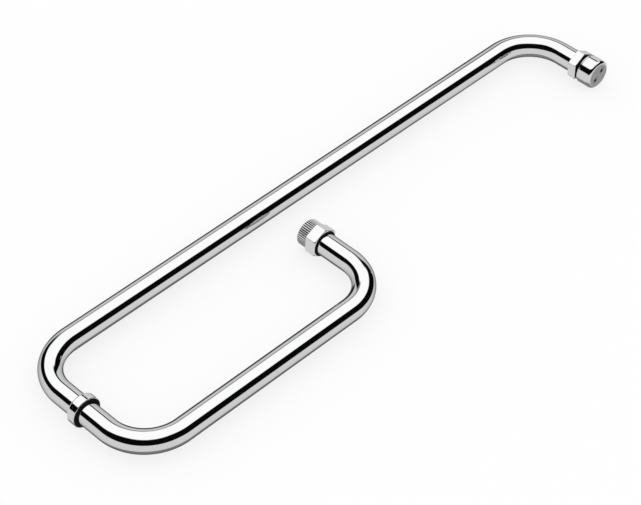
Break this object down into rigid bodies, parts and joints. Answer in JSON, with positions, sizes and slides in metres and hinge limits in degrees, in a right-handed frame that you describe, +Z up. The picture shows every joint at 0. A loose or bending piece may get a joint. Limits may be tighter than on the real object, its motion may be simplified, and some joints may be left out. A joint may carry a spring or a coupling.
{
  "type": "shower door handle",
  "caption": "Chrome towel bar in bent tube, back to back with a shorter pull handle through a shared hole in a glass shower door, with round and hexagonal collars, a knurled cap and a spanner cap.",
  "frame": {"origin": "on the axis of the shared glass hole, in the plane where the closed stack parts for the glass", "axes": "+X along the bars to the far hole, +Y square to the glass towards the towel bar, +Z up"},
  "size_m": [0.4784, 0.1213, 0.0218],
  "materials": {
    "chrome": "polished",
    "brass": "machined",
    "stainless": "machined",
    "soft_ring": "matt"
  },
  "bodies": {
    "root": {"towel_bar_tube": "chrome", "pull_handle_tube": "chrome", "shared_towel_collar": "chrome", "shared_pull_collar": "chrome", "far_collar": "chrome", "free_collar": "chrome", "far_cap": "chrome", "knurled_cap": "chrome", "towel_shared_plug": "brass", "towel_far_plug": "brass", "pull_shared_plug": "brass", "pull_free_plug": "brass", "shared_stud": "stainless", "far_stud": "stainless", "free_stud": "stainless", "grub_screw": "stainless", "shared_seal": "soft_ring", "shared_towel_ring": "soft_ring", "shared_pull_ring": "soft_ring", "far_ring": "soft_ring", "far_cap_ring": "soft_ring", "free_tube_ring": "soft_ring", "free_collar_ring": "soft_ring"}
  },
  "joints": []
}
